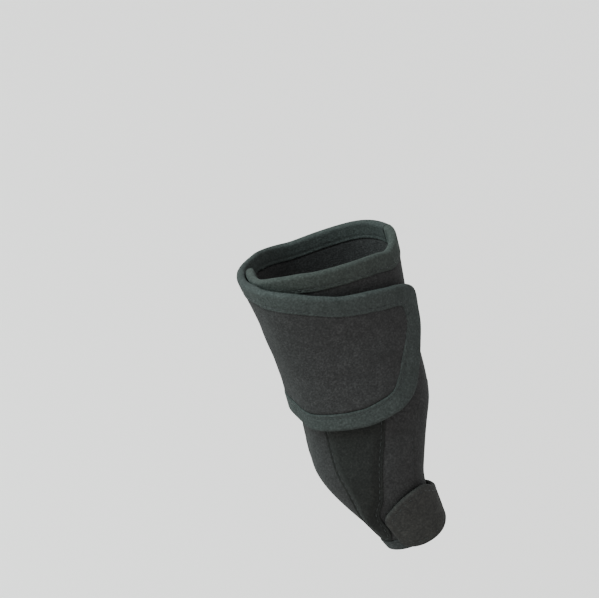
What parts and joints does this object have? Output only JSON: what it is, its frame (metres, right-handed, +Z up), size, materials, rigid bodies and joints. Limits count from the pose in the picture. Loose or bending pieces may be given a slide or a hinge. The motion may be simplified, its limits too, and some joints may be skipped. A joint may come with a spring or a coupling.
{
  "type": "bunion corrector",
  "caption": "Soft black bunion corrector for a left foot: a splint pocket runs along the inner side to a big-toe sleeve, and a wide strap wraps the midfoot and ends in a flap.",
  "frame": {"origin": "on the inner face of the brace's sole side, under the arch, where the foot's sole rests in it", "axes": "+X towards the toe opening, +Z up through the instep, +Y towards the foot's outer side, with the big toe on the -Y side"},
  "size_m": [0.1446, 0.0904, 0.0932],
  "materials": {
    "panel_cloth": "matte",
    "pocket_cloth": "matte",
    "strap_cloth": "matte",
    "strap_edge_tape": "matte",
    "panel_top_tape": "matte",
    "panel_side_tape": "matte",
    "toe_strap_cloth": "matte",
    "toe_hem_tape": "matte"
  },
  "bodies": {
    "root": {"medial_panel": "panel_cloth", "splint_pocket": "pocket_cloth", "midfoot_strap": "strap_cloth", "strap_binding": "strap_edge_tape", "panel_top_binding": "panel_top_tape", "panel_side_binding": "panel_side_tape", "toe_strap": "toe_strap_cloth", "toe_hem": "toe_hem_tape"}
  },
  "joints": []
}
